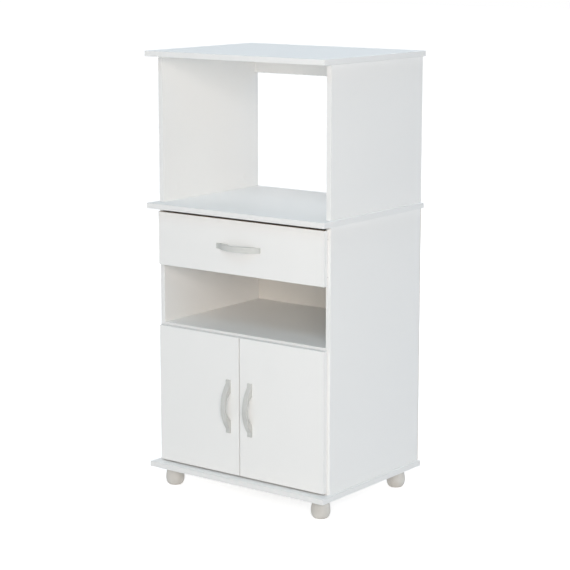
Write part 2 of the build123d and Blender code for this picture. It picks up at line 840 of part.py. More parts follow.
def plate_screw_seats():
    """Screw places on the right side panel's inner face, at the mounting plates' wings."""
    seats = []
    for height in hinge_heights:
        for side in (-1, 1):
            z = height + side * plate_wing_reach
            seats.append((x_inner - plate_thickness, y_fronts_back + plate_wing_v, z))
    return seats


def strip(points, width, low, high):
    """A flat strip along a path in the (u, v) plane, between two heights."""
    shape = Part()
    for start, end in zip(points, points[1:]):
        along = Vector(*end) - Vector(*start)
        middle = (Vector(*start) + Vector(*end)) / 2
        axes = Plane(origin=(middle.X, middle.Y, low), x_dir=along, z_dir=UP)
        shape += extrude(axes * Rectangle(along.length, width), high - low)
    for point in points[1:-1]:
        shape += disc(point, width / 2, low, high)
    return shape


def disc(centre, radius, low, high):
    return extrude(Pos(centre[0], centre[1], low) * Circle(radius), high - low)


def link_bore(centre):
    return disc(centre, link_pin_radius + link_pin_clearance, -arm_outside, arm_outside)


def outer_link():
    """The cranked outer link: a hub on the arm's pin between two strips that reach into the cup."""
    path = (outer_link_cup_pin,) + outer_link_knees + (outer_link_arm_pin,)
    link = disc(outer_link_arm_pin, link_eye_radius, -outer_link_outside, outer_link_outside)
    for low, high in ((-outer_link_outside, -outer_link_inside), (outer_link_inside, outer_link_outside)):
        link += strip(path, outer_link_width, low, high)
        link += disc(outer_link_cup_pin, link_eye_radius, low, high)
    return link - link_bore(outer_link_arm_pin) - link_bore(outer_link_cup_pin)


def inner_link():
    """The inner link: a hub on the arm's other pin and a wide eye round the cup's middle pin."""
    path = (inner_link_eye, inner_link_knee, inner_link_arm_pin)
    link = strip(path, inner_link_thickness, -inner_link_half, inner_link_half)
    link += disc(inner_link_arm_pin, link_eye_radius, -inner_link_hub_half, inner_link_hub_half)
    link += disc(inner_link_eye, inner_link_slot_rim, -inner_link_half, inner_link_half)
    link -= link_bore(inner_link_arm_pin)
    return link - disc(inner_link_eye, inner_link_slot_radius, -arm_outside, arm_outside)


def hinge_cup():
    """The cup in the door, with its ears, the outer link's two stub pins and the inner link's pin."""
    bowl = rod(cup_radius, (cup_middle, 0, 0), FORWARD, cup_depth)
    for side in (-1, 1):
        low, high = sorted((side * cup_ear_start, side * cup_ear_reach))
        bowl += block(cup_middle - cup_ear_radius, cup_middle + cup_ear_radius, 0, cup_ear, low, high)
        bowl += rod(cup_ear_radius, (cup_middle, 0, high if side > 0 else low), BACK, cup_ear)
    bowl -= rod(cup_radius - cup_wall, (cup_middle, cup_ear, 0), FORWARD, cup_ear + cup_depth - cup_floor)
    lug_u, lug_v = inner_link_cup_pin
    wall_u = cup_middle - outer_link_cup_pin[0] + link_pin_radius
    wall_w = ((cup_radius - cup_wall / 2) ** 2 - wall_u**2) ** 0.5
    for side in (-1, 1):
        low, high = sorted((side * cup_lug_inside, side * cup_lug_outside))
        lug_foot = cup_floor / 2 - cup_depth
        bowl += block(lug_u - cup_lug_radius, lug_u + cup_lug_radius, lug_foot, lug_v, low, high)
        bowl += disc(inner_link_cup_pin, cup_lug_radius, low, high)
        low, high = sorted((side * (cup_lug_outside + link_side_gap), side * wall_w))
        bowl += disc(outer_link_cup_pin, link_pin_radius, low, high)
        bowl -= pan_bore((cup_middle, cup_ear, side * cup_ear_reach), FORWARD)
    return bowl + disc(inner_link_cup_pin, link_pin_radius, -cup_lug_outside, cup_lug_outside)


def hinge_arm():
    """The arm: a channel of sheet steel that carries the two links' pins between its cheeks."""
    outer_u, outer_v = outer_link_arm_pin
    inner_u, inner_v = inner_link_arm_pin
    back = plate_top + arm_height
    nose = inner_u + arm_nose
    cheek = Polyline(
        (plate_top, arm_end),
        (plate_top, plate_start + arm_setback),
        (outer_u - arm_throat, outer_v + arm_throat),
        (outer_u - arm_cheek, outer_v),
        (inner_u - arm_cheek, inner_v - arm_tip / 2),
        (inner_u, inner_v - arm_tip),
        (nose - arm_tip / 2, inner_v - arm_tip / 2),
        (nose, inner_v),
        (nose, inner_v + arm_throat),
        (back + arm_crank, arm_crank_v),
        (back, arm_crank_v + arm_crank_length),
        (back, arm_end),
        close=True,
    )
    cheek = make_face(cheek)
    arm = extrude(Pos(0, 0, arm_inside) * cheek, arm_outside - arm_inside)
    arm += extrude(Pos(0, 0, -arm_outside) * cheek, arm_outside - arm_inside)
    sheet = arm_outside - arm_inside
    spine = (
        (nose - sheet / 2, inner_v),
        (nose - sheet / 2, inner_v + arm_throat),
        (back + arm_crank - sheet / 2, arm_crank_v),
        (back - sheet / 2, arm_crank_v + arm_crank_length),
        (back - sheet / 2, arm_end),
    )
    arm += strip(spine, sheet, -arm_outside, arm_outside)
    for pin in (outer_link_arm_pin, inner_link_arm_pin):
        arm += disc(pin, link_pin_radius, -arm_outside, arm_outside)
        for low in (-arm_outside - arm_rivet, arm_outside):
            arm += disc(pin, link_pin_radius + arm_rivet, low, low + arm_rivet)
    return arm - rod(arm_screw_radius + screw_clearance, (plate_top, arm_screw_v, 0), RIGHT, arm_height + 1.0)


def hinge_plate():
    """The mounting plate on the side panel, with a wing for each of its screws."""
    seat = plate_top - plate_thickness
    plate = block(seat, plate_top, plate_start, plate_end, -plate_half, plate_half)
    for side in (-1, 1):
        low, high = sorted((0, side * plate_wing_reach))
        wing_start, wing_end = plate_wing_v - plate_wing_radius, plate_wing_v + plate_wing_radius
        plate += block(seat, plate_top, wing_start, wing_end, low, high)
        plate += rod(plate_wing_radius, (seat, plate_wing_v, side * plate_wing_reach), RIGHT, plate_thickness)
    for side in (-1, 1):
        plate -= pan_bore((plate_top, plate_wing_v, side * plate_wing_reach), LEFT)
    return plate - rod(arm_screw_radius + screw_clearance, (plate_top, arm_screw_v, 0), LEFT, plate_thickness)


def arm_screw():
    """The machine screw that clamps an arm to its mounting plate."""
    seat = (plate_top + arm_height, arm_screw_v, 0)
    length = arm_height + plate_thickness - arm_screw_short
    shape = turned(
        [
            (0, -arm_screw_head),
            (arm_screw_head_radius - arm_screw_ease, -arm_screw_head),
            (arm_screw_head_radius, arm_screw_ease - arm_screw_head),
            (arm_screw_head_radius, 0),
            (arm_screw_radius, 0),
            (arm_screw_radius, length),
            (0, length),
        ],
        seat,
        LEFT,
    )
    return shape - drive((seat[0] + arm_screw_head, seat[1], 0), LEFT, arm_screw_head_radius)


def hinges():
    """Both hinges of the right door and, mirrored, those of the left door."""
    parts = {}
    cup_screws = [pan_screw((cup_middle, cup_ear, side * cup_ear_reach), FORWARD) for side in (-1, 1)]
    plate_screws = [
        pan_screw((plate_top, plate_wing_v, side * plate_wing_reach), LEFT) for side in (-1, 1)
    ]
    single = {
        "hinge_cups": [hinge_cup()],
        "hinge_cup_screws": cup_screws,
        "hinge_outer_links": [outer_link()],
        "hinge_inner_links": [inner_link()],
        "hinge_arms": [hinge_arm()],
        "hinge_plates": [hinge_plate()],
        "hinge_screws": plate_screws + [arm_screw()],
    }
    for name, pieces in single.items():
        both = [hinge_axes(height) * piece for height in hinge_heights for piece in pieces]
        parts[name + "_right"] = group(both)
        parts[name + "_left"] = group([mirror(piece, about=Plane.YZ) for piece in both])
    return parts


# ---------------------------------------------------------------- doors
def doors():
    """The right door, drilled for its hinges and its handle, and its mirror image."""
    parts = {}
    door = eased(
        block(door_gap / 2, x_fronts, y_fronts_face, y_fronts_back, z_door_low, z_door_high),
        Axis.X,
        Axis.Y,
        Axis.Z,
    )
    for height in hinge_heights:
        axes = hinge_axes(height)
        pocket = rod(cup_radius + cup_clearance, (cup_middle, 0, 0), FORWARD, cup_depth + cup_clearance)
        for side in (-1, 1):
            pocket += pan_bore((cup_middle, cup_ear, side * cup_ear_reach), FORWARD)
        door = door - axes * pocket
    seats = handle_screw_seats(handle_door_inset, z_door_handle, upright=True)
    door = handle_bores(door, seats)
    pull = handle((handle_door_inset, y_fronts_face, z_door_handle), (0, 0, 1), (1, 0, 0))
    screws = group([pan_screw(seat, FORWARD, handle_screw_length) for seat in seats])
    parts["door_left"], parts["door_right"] = sides(door)
    parts["door_handle_left"], parts["door_handle_right"] = sides(pull)
    parts["door_handle_screws_left"], parts["door_handle_screws_right"] = sides(screws)
    return parts


# ---------------------------------------------------------------- all the pieces
os.makedirs("parts", exist_ok=True)
for build_pieces in (carcass, carcass_fittings, feet, drawer, runners, hinges, doors):
    for name, piece in build_pieces().items():
        export_step(piece, f"parts/{name}.step")
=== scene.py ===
import json
import math

import bmesh
import bpy
from mathutils import Matrix, Vector


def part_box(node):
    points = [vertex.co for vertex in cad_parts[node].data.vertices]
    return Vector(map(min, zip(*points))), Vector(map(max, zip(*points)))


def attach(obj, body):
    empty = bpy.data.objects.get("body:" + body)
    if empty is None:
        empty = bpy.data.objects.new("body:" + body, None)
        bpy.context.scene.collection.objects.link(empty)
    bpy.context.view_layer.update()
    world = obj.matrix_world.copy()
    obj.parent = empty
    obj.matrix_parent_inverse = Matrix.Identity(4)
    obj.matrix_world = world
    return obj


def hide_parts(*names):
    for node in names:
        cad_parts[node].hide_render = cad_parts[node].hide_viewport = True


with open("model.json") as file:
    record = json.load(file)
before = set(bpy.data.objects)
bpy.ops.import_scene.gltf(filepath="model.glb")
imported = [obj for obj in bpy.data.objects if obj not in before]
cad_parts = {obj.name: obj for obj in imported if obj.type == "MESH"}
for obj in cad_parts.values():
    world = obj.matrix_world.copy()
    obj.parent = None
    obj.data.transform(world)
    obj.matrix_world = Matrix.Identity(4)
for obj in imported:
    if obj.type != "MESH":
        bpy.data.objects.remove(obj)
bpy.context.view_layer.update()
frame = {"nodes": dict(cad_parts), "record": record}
nodes = frame["nodes"]
bpy.context.scene.view_settings.view_transform = "Standard"


def node_box(name):
    """A node's lowest and highest corner."""
    low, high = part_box(name)
    return Vector(low), Vector(high)


# ---------------------------------------------------------------- camera
CAMERA_PLACE = (3.0102, -3.9462, 1.5202)
CAMERA_TURN = math.radians(37.356)
CAMERA_DIP = math.radians(10.820)
CAMERA_LENS = 115.76

lens = bpy.data.cameras.new("stand_camera")
lens.lens = CAMERA_LENS
lens.sensor_width = 36.0
lens.clip_end = 60.0
camera = bpy.data.objects.new("stand_camera", lens)
camera.location = CAMERA_PLACE
camera.rotation_euler = (math.pi / 2 - CAMERA_DIP, 0.0, CAMERA_TURN)
bpy.context.scene.collection.objects.link(camera)
bpy.context.scene.camera = camera


# ---------------------------------------------------------------- node helpers
FLOAT = "NodeSocketFloat"
VECTOR = "NodeSocketVector"


def new_material(name):
    """A material, its node tree and its shader."""
    material = bpy.data.materials.new(name)
    material.use_nodes = True
    return material, material.node_tree, material.node_tree.nodes["Principled BSDF"]


def add(tree, kind, **values):
    """A node with its settings, and its inputs by name, with _ for a space."""
    node = tree.nodes.new(kind)
    for name, value in values.items():
        if hasattr(node, name):
            setattr(node, name, value)
        else:
            node.inputs[name.replace("_", " ")].default_value = value
    return node


def join(tree, *pairs):
    """Links each output to its input."""
    for output, target in pairs:
        tree.links.new(output, target)


def new_group(name, inputs, outputs):
    """A node group: inputs of a name, a kind and a value, and outputs that are masks or heights."""
    group = bpy.data.node_groups.new(name, "ShaderNodeTree")
    for label, kind, value in inputs:
        made = group.interface.new_socket(name=label, in_out="INPUT", socket_type=kind)
        made.default_value = value
    for label in outputs:
        group.interface.new_socket(name=label, in_out="OUTPUT", socket_type=FLOAT)
    return group, group.nodes.new("NodeGroupInput"), group.nodes.new("NodeGroupOutput")


def object_place(tree):
    """The place of a point in its piece's own coordinates."""
    return tree.nodes.new("ShaderNodeTexCoord").outputs["Object"]


def beyond(tree, axis, level):
    """1 where a point lies past a level along an axis, else 0."""
    split = tree.nodes.new("ShaderNodeSeparateXYZ")
    past = add(tree, "ShaderNodeMath", operation="GREATER_THAN")
    past.inputs[1].default_value = level
    join(tree, (object_place(tree), split.inputs["Vector"]), (split.outputs[axis], past.inputs[0]))
    return past.outputs["Value"]


def blend(tree, mask, first, second, kind="RGBA"):
    """Goes from the first to the second as a mask rises; each is a colour or an output."""
    mix = add(tree, "ShaderNodeMix", data_type=kind)
    join(tree, (mask, mix.inputs["Factor"]))
    for end, source in (("A", first), ("B", second)):
        if isinstance(source, bpy.types.NodeSocket):
            join(tree, (source, mix.inputs[end]))
        else:
            mix.inputs[end].default_value = (*source, 1.0)
    return mix.outputs["Result"]


def spread(tree, mask, limits):
    """Turns a 0 to 1 mask into a value between two limits."""
    low, high = limits
    ranged = add(tree, "ShaderNodeMapRange", To_Min=low, To_Max=high)
    join(tree, (mask, ranged.inputs["Value"]))
    return ranged.outputs["Result"]


def seen_directly(tree):
    """1 for rays from the camera or off a glossy surface, else 0."""
    rays = tree.nodes.new("ShaderNodeLightPath")
    either = add(tree, "ShaderNodeMath", operation="MAXIMUM")
    join(
        tree,
        (rays.outputs["Is Camera Ray"], either.inputs[0]),
        (rays.outputs["Is Glossy Ray"], either.inputs[1]),
    )
    return either.outputs["Value"]


# ---------------------------------------------------------------- effects shared by the finishes
def make_pressed_texture():
    """The fine pearl of a pressed melamine face: a colour shift, a gloss mask and a height."""
    group, given, result = new_group(
        "pressed melamine texture",
        [
            ("Pearl Scale", FLOAT, 900.0),
            ("Cloud Scale", FLOAT, 3.0),
            ("Cloud Strength", FLOAT, 0.5),
        ],
        ["Cloud", "Gloss", "Height"],
    )
    place = object_place(group)
    pearl = add(group, "ShaderNodeTexNoise", Detail=2.0, Roughness=0.55)
    cloud = add(group, "ShaderNodeTexNoise", Detail=4.0, Roughness=0.6)
    streak = add(group, "ShaderNodeTexNoise", Scale=26.0, Detail=3.0, Roughness=0.7)
    cloud_amount = add(group, "ShaderNodeMath", operation="MULTIPLY")
    gloss = add(group, "ShaderNodeMapRange", From_Min=0.3, From_Max=0.7)
    join(
        group,
        (place, pearl.inputs["Vector"]),
        (place, cloud.inputs["Vector"]),
        (place, streak.inputs["Vector"]),
        (given.outputs["Pearl Scale"], pearl.inputs["Scale"]),
        (given.outputs["Cloud Scale"], cloud.inputs["Scale"]),
        (cloud.outputs["Fac"], cloud_amount.inputs[0]),
        (given.outputs["Cloud Strength"], cloud_amount.inputs[1]),
        (streak.outputs["Fac"], gloss.inputs["Value"]),
        (cloud_amount.outputs["Value"], result.inputs["Cloud"]),
        (gloss.outputs["Result"], result.inputs["Gloss"]),
        (pearl.outputs["Fac"], result.inputs["Height"]),
    )
    return group


def make_fine_scratches():
    """Hairlines and rubbed spots of handled metal and plastic: a mask and a height."""
    group, given, result = new_group(
        "fine scratches",
        [("Scale", FLOAT, 60.0), ("Stretch", VECTOR, (1.0, 1.0, 14.0))],
        ["Mask", "Height"],
    )
    place = object_place(group)
    stretch = add(group, "ShaderNodeMapping")
    lines = add(group, "ShaderNodeTexNoise", Detail=5.0, Roughness=0.75)
    rubbed = add(group, "ShaderNodeTexNoise", Scale=18.0, Detail=3.0, Roughness=0.6)
    mask = add(group, "ShaderNodeMapRange", From_Min=0.42, From_Max=0.62)
    join(
        group,
        (place, stretch.inputs["Vector"]),
        (given.outputs["Stretch"], stretch.inputs["Scale"]),
        (stretch.outputs["Vector"], lines.inputs["Vector"]),
        (given.outputs["Scale"], lines.inputs["Scale"]),
        (place, rubbed.inputs["Vector"]),
        (rubbed.outputs["Fac"], mask.inputs["Value"]),
        (mask.outputs["Result"], result.inputs["Mask"]),
        (lines.outputs["Fac"], result.inputs["Height"]),
    )
    return group


def make_taped_edges():
    """Where a board's edge band lies, and the fine joint between the band and the face."""
    group, given, result = new_group(
        "taped edges",
        [
            ("Middle", VECTOR, (0.0, 0.0, 0.0)),
            ("Half Size", VECTOR, (0.1, 0.1, 0.1)),
            ("Untaped", VECTOR, (0.0, 0.0, 0.0)),
            ("Band Thickness", FLOAT, 0.0007),
            ("Joint Width", FLOAT, 0.0002),
        ],
        ["Band", "Joint"],
    )
    from_middle = add(group, "ShaderNodeVectorMath", operation="SUBTRACT")
    reach = add(group, "ShaderNodeVectorMath", operation="ABSOLUTE")
    inside = add(group, "ShaderNodeVectorMath", operation="SUBTRACT")
    taped = add(group, "ShaderNodeVectorMath", operation="ADD")
    axes = group.nodes.new("ShaderNodeSeparateXYZ")
    nearer = add(group, "ShaderNodeMath", operation="MINIMUM")
    nearest = add(group, "ShaderNodeMath", operation="MINIMUM")
    on_band = add(group, "ShaderNodeMath", operation="LESS_THAN")
    from_joint = add(group, "ShaderNodeMath", operation="SUBTRACT")
    off_joint = add(group, "ShaderNodeMath", operation="ABSOLUTE")
    in_joint = add(group, "ShaderNodeMath", operation="LESS_THAN")
    join(
        group,
        (object_place(group), from_middle.inputs[0]),
        (given.outputs["Middle"], from_middle.inputs[1]),
        (from_middle.outputs["Vector"], reach.inputs[0]),
        (given.outputs["Half Size"], inside.inputs[0]),
        (reach.outputs["Vector"], inside.inputs[1]),
        (inside.outputs["Vector"], taped.inputs[0]),
        (given.outputs["Untaped"], taped.inputs[1]),
        (taped.outputs["Vector"], axes.inputs["Vector"]),
        (axes.outputs["X"], nearer.inputs[0]),
        (axes.outputs["Y"], nearer.inputs[1]),
        (nearer.outputs["Value"], nearest.inputs[0]),
        (axes.outputs["Z"], nearest.inputs[1]),
        (nearest.outputs["Value"], on_band.inputs[0]),
        (given.outputs["Band Thickness"], on_band.inputs[1]),
        (nearest.outputs["Value"], from_joint.inputs[0]),
        (given.outputs["Band Thickness"], from_joint.inputs[1]),
        (from_joint.outputs["Value"], off_joint.inputs[0]),
        (off_joint.outputs["Value"], in_joint.inputs[0]),
        (given.outputs["Joint Width"], in_joint.inputs[1]),
        (on_band.outputs["Value"], result.inputs["Band"]),
        (in_joint.outputs["Value"], result.inputs["Joint"]),
    )
    return group


def make_pressed_fibre():
    """Matted wood fibre of raw hardboard: a mottle, fine hairs and a height."""
    group, given, result = new_group(
        "pressed fibre",
        [("Fibre Scale", FLOAT, 220.0), ("Mottle Scale", FLOAT, 14.0)],
        ["Mottle", "Fibre", "Height"],
    )
    place = object_place(group)
    mottle = add(group, "ShaderNodeTexNoise", Detail=6.0, Roughness=0.65)
    fibre = add(group, "ShaderNodeTexNoise", Detail=4.0, Roughness=0.7, Distortion=1.4)
    hairs = add(group, "ShaderNodeMapRange", From_Min=0.52, From_Max=0.66)
    join(
        group,
        (place, mottle.inputs["Vector"]),
        (place, fibre.inputs["Vector"]),
        (given.outputs["Mottle Scale"], mottle.inputs["Scale"]),
        (given.outputs["Fibre Scale"], fibre.inputs["Scale"]),
        (fibre.outputs["Fac"], hairs.inputs["Value"]),
        (mottle.outputs["Fac"], result.inputs["Mottle"]),
        (hairs.outputs["Result"], result.inputs["Fibre"]),
        (fibre.outputs["Fac"], result.inputs["Height"]),
    )
    return group


PRESSED = make_pressed_texture()
SCRATCHES = make_fine_scratches()
TAPED = make_taped_edges()
FIBRE = make_pressed_fibre()


# ---------------------------------------------------------------- finishes
FACE_WHITE = (0.925, 0.922, 0.908)
FACE_SHADE = (0.912, 0.908, 0.893)
BAND_WHITE = (0.885, 0.883, 0.873)
JOINT_GREY = (0.700, 0.692, 0.672)
# raw chipboard of a sawn edge, made dark to paint the shade in the gap above the drawer front
CHIPBOARD_AS_GAP_SHADE = (0.270, 0.185, 0.110)
DARK_CHIPBOARD_AS_GAP_SHADE = (0.170, 0.110, 0.062)
LACQUER_WHITE = (0.915, 0.893, 0.850)
LACQUER_SHADE = (0.895, 0.872, 0.828)
RAW_FIBRE = (0.430, 0.300, 0.190)
RAW_FIBRE_DARK = (0.330, 0.215, 0.125)
BEECH_LIGHT = (0.62, 0.43, 0.25)
BEECH_DARK = (0.48, 0.31, 0.17)
DOT_COLOUR = (0.90, 0.91, 0.90, 1.0)
# roughness, from the glossiest to the dullest spot of a finish
MELAMINE_ROUGH = (0.36, 0.46)
LACQUER_ROUGH = (0.42, 0.50)
RAW_FIBRE_ROUGH = (0.76, 0.88)
DOT_ROUGH = (0.16, 0.3)
BEECH_ROUGH = 0.62
# relief: the bump's strength and its depth in metres
MELAMINE_RELIEF = (0.35, 0.00003)
HARDBOARD_RELIEF = (0.5, 0.00008)
BEECH_RELIEF = (0.5, 0.0001)
HANDLED_RELIEF = (0.4, 0.00001)
SAWN_SHADE_RIM = 0.0003  # how far below the top the dark sawn chipboard edge reaches, painted shade for the gap above it
AXES = "XYZ"
METAL = 1.0
PLASTIC = 0.0


def dress(tree, shader, colour, height, relief):
    """Gives a shader its colour and the relief of a height."""
    strength, depth = relief
    bump = add(tree, "ShaderNodeBump", Strength=strength, Distance=depth)
    join(
        tree,
        (colour, shader.inputs["Base Color"]),
        (height, bump.inputs["Height"]),
        (bump.outputs["Normal"], shader.inputs["Normal"]),
    )


def melamine(node, taped, sawn_shaded_top=False):
    """White melamine for one board: edge bands across some axes, and if asked a sawn top edge of
    dark chipboard, which also paints the shade in the gap above it.
    """
    low, high = node_box(node)
    material, tree, shader = new_material("white melamine " + node)
    texture = add(tree, "ShaderNodeGroup", node_tree=PRESSED)
    edges = add(
        tree,
        "ShaderNodeGroup",
        node_tree=TAPED,
        Middle=(low + high) / 2,
        Half_Size=(high - low) / 2,
        Untaped=[0.0 if axis in taped else 1.0 for axis in AXES],
    )
    face = blend(tree, texture.outputs["Cloud"], FACE_WHITE, FACE_SHADE)
    banded = blend(tree, edges.outputs["Band"], face, BAND_WHITE)
    colour = blend(tree, edges.outputs["Joint"], banded, JOINT_GREY)
    # the sawn top is dark chipboard: partly the board's own colour, partly painted shade for the
    # gap above it
    if sawn_shaded_top:
        chips = add(tree, "ShaderNodeGroup", node_tree=FIBRE)
        core_as_gap_shade = blend(tree, chips.outputs["Fibre"], CHIPBOARD_AS_GAP_SHADE, DARK_CHIPBOARD_AS_GAP_SHADE)
        colour = blend(tree, beyond(tree, "Z", high.z - SAWN_SHADE_RIM), colour, core_as_gap_shade)
    dress(tree, shader, colour, texture.outputs["Height"], MELAMINE_RELIEF)
    rough = spread(tree, texture.outputs["Gloss"], MELAMINE_ROUGH)
    join(tree, (rough, shader.inputs["Roughness"]))
    shader.inputs["Specular IOR Level"].default_value = 0.45
    return material


def hardboard(node, raw_axis=None):
    """Hardboard lacquered white all over, or left raw on the face at the high end of an axis."""
    material, tree, shader = new_material("hardboard " + node)
    fibre = add(tree, "ShaderNodeGroup", node_tree=FIBRE)
    colour = blend(tree, fibre.outputs["Mottle"], LACQUER_WHITE, LACQUER_SHADE)
    rough = spread(tree, fibre.outputs["Mottle"], LACQUER_ROUGH)
    if raw_axis:
        low, high = node_box(node)
        raw = beyond(tree, raw_axis, (low + high)[AXES.index(raw_axis)] / 2)
        raw_colour = blend(tree, fibre.outputs["Fibre"], RAW_FIBRE, RAW_FIBRE_DARK)
        raw_rough = spread(tree, fibre.outputs["Fibre"], RAW_FIBRE_ROUGH)
        colour = blend(tree, raw, colour, raw_colour)
        rough = blend(tree, raw, rough, raw_rough, "FLOAT")
    dress(tree, shader, colour, fibre.outputs["Height"], HARDBOARD_RELIEF)
    join(tree, (rough, shader.inputs["Roughness"]))
    return material


def beech():
    """Compressed beech of the dowels, finely mottled."""
    material, tree, shader = new_material("beech dowel")
    grain = add(tree, "ShaderNodeGroup", node_tree=FIBRE, Fibre_Scale=900.0, Mottle_Scale=120.0)
    colour = blend(tree, grain.outputs["Mottle"], BEECH_LIGHT, BEECH_DARK)
    dress(tree, shader, colour, grain.outputs["Height"], BEECH_RELIEF)
    shader.inputs["Roughness"].default_value = BEECH_ROUGH
    return material


def handled(name, light, worn, limits, metallic):
    """Metal or moulded plastic with fine handling marks, in two colours and two roughnesses."""
    material, tree, shader = new_material(name)
    marks = add(tree, "ShaderNodeGroup", node_tree=SCRATCHES)
    colour = blend(tree, marks.outputs["Mask"], light, worn)
    dress(tree, shader, colour, marks.outputs["Height"], HANDLED_RELIEF)
    rough = spread(tree, marks.outputs["Mask"], limits)
    join(tree, (rough, shader.inputs["Roughness"]))
    shader.inputs["Metallic"].default_value = metallic
    return material


def clear_rubber():
    """The clear, slightly milky polyurethane of the closing dots."""
    material, tree, shader = new_material("clear door dot")
    cloud = add(tree, "ShaderNodeTexNoise", Scale=400.0, Detail=3.0)
    rough = spread(tree, cloud.outputs["Fac"], DOT_ROUGH)
    join(
        tree,
        (object_place(tree), cloud.inputs["Vector"]),
        (rough, shader.inputs["Roughness"]),
    )
    shader.inputs["Base Color"].default_value = DOT_COLOUR
    shader.inputs["Transmission Weight"].default_value = 0.7
    shader.inputs["IOR"].default_value = 1.48
    return material


FITTING_FINISHES = {
    "foot_plastic": handled(
        "silver grey foot plastic", (0.640, 0.617, 0.580), (0.605, 0.582, 0.545), (0.42, 0.52), 0.25
    ),
    "silver_handle": handled(
        "satin silver handle", (0.625, 0.625, 0.600), (0.585, 0.585, 0.562), (0.50, 0.60), 0.30
    ),
    "nickel_steel": handled(
        "nickel-plated steel", (0.62, 0.60, 0.57), (0.55, 0.53, 0.50), (0.22, 0.34), METAL
    ),
    "zinc_screw": handled(
        "zinc-plated screw", (0.60, 0.61, 0.62), (0.50, 0.51, 0.52), (0.28, 0.42), METAL
    ),
    "cam_zinc": handled(
        "die-cast zinc", (0.42, 0.42, 0.42), (0.36, 0.36, 0.36), (0.45, 0.60), METAL
    ),
    "white_runner": handled(
        "white powder coat", (0.84, 0.84, 0.83), (0.80, 0.80, 0.79), (0.40, 0.50), PLASTIC
    ),
    "white_plastic": handled(
        "white plastic", (0.925, 0.922, 0.908), (0.915, 0.912, 0.898), (0.38, 0.46), PLASTIC
    ),
    "white_nylon": handled(
        "white nylon", (0.80, 0.80, 0.77), (0.76, 0.76, 0.73), (0.42, 0.50), PLASTIC
    ),
    "beech": beech(),
}
DOOR_DOT = clear_rubber()

# the axes across whose ends a melamine board has edge bands
TAPED_AXES = {
    "top_board": "XY",
    "middle_board": "XY",
    "bottom_board": "XY",
    "niche_shelf": "Y",
    "bay_back_rail": "Z",
    "upper_side_left": "Y",
    "upper_side_right": "Y",
    "lower_side_left": "Y",
    "lower_side_right": "Y",
    "door_left": "XZ",
    "door_right": "XZ",
    "drawer_front": "X",
    "drawer_side_left": "Z",
    "drawer_side_right": "Z",
    "drawer_back": "Z",
}
# the drawer front's top edge is dark raw chipboard, which paints the shade in the gap under the
# middle board
SAWN_SHADE_TOPS = {"drawer_front"}
# hardboard, and the axis whose high end is a raw face
LACQUERED = {"back_panel": "Y", "drawer_bottom": None}


def finish_of(node, slot):
    """A board's own material, or the one of its fitting's slot."""
    if node in TAPED_AXES:
        return melamine(node, TAPED_AXES[node], node in SAWN_SHADE_TOPS)
    if node in LACQUERED:
        return hardboard(node, LACQUERED[node])
    return FITTING_FINISHES[slot]


for entry in frame["record"]["subparts"]:
    piece = nodes[entry["node"]]
    piece.data.materials.clear()
    piece.data.materials.append(finish_of(entry["node"], entry["material_slot"]))


# ---------------------------------------------------------------- modelling by hand
MERGE_DISTANCE = 0.000001


def begin(name):
    """Names the primitive just added, applies its turn and opens it for editing."""
    piece = bpy.context.active_object
    piece.name = piece.data.name = name
    bpy.ops.object.transform_apply(location=True, rotation=True, scale=True)
    bpy.ops.object.mode_set(mode="EDIT")
    return piece


def pick(piece, wanted):
    """Selects the vertices that a test on their place accepts, and nothing else."""
    bpy.ops.mesh.select_all(action="DESELECT")
    mesh = bmesh.from_edit_mesh(piece.data)
    for vert in mesh.verts:
        vert.select = wanted(vert.co)
    mesh.select_flush_mode()
    bmesh.update_edit_mesh(piece.data)


def extrude(x, y, z):
    """Draws out what is selected by a step."""
    bpy.ops.mesh.extrude_region_move(TRANSFORM_OT_translate={"value": (x, y, z)})


def close_up():
    """Merges doubles, turns the faces outwards and leaves edit mode."""
    bpy.ops.mesh.select_all(action="SELECT")
    bpy.ops.mesh.remove_doubles(threshold=MERGE_DISTANCE)
    bpy.ops.mesh.normals_make_consistent(inside=False)
    bpy.ops.object.mode_set(mode="OBJECT")


def round_edges(piece, width, segments, sharp_angle):
    """Rounds the edges that are sharper than an angle and shades the rest smooth."""
    bevel = piece.modifiers.new("rounded edges", "BEVEL")
    bevel.width = width
    bevel.segments = segments
    bevel.limit_method = "ANGLE"
    bevel.angle_limit = sharp_angle
    bpy.ops.object.modifier_apply(modifier=bevel.name)
    bpy.ops.object.shade_smooth_by_angle(angle=sharp_angle)


def placed_copy(pattern, name, place, finish, body, stands_for=None):
    """A copy of a finished pattern with its own mesh, its place applied, riding on a body."""
    piece = pattern.copy()
    piece.data = pattern.data.copy()
    piece.name = piece.data.name = name
    bpy.context.scene.collection.objects.link(piece)
    piece.matrix_world = place
    bpy.ops.object.select_all(action="DESELECT")
    piece.select_set(True)
    bpy.context.view_layer.objects.active = piece
    bpy.ops.object.transform_apply(location=True, rotation=True, scale=True)
    piece.data.materials.clear()
    piece.data.materials.append(finish)
    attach(piece, body)
    if stands_for:
        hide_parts(stands_for)


def put_away(pattern):
    """Removes a pattern once its copies are placed."""
    bpy.data.objects.remove(pattern, do_unlink=True)


# ---------------------------------------------------------------- feet
FOOT_BASE_RADIUS = 0.0155
FOOT_BELLY_HEIGHT = 0.0215
FOOT_TOP_RADIUS = 0.0175
FOOT_BORE_RADIUS = 0.006
FOOT_WEB = 0.010  # solid top over the counterbore
FOOT_SIDES = 72
FOOT_STEPS = 14  # rings up to the belly, and as many from there to the top
FOOT_ROUND = 0.0006
FOOT_ROUND_STEPS = 2
FOOT_SHARP_ANGLE = math.radians(50.0)
ON_THE_FLOOR = 0.00001
QUARTER_TURN = math.radians(90.0)
FOOT_NODES = ("foot_front_left", "foot_front_right", "foot_back_left", "foot_back_right")


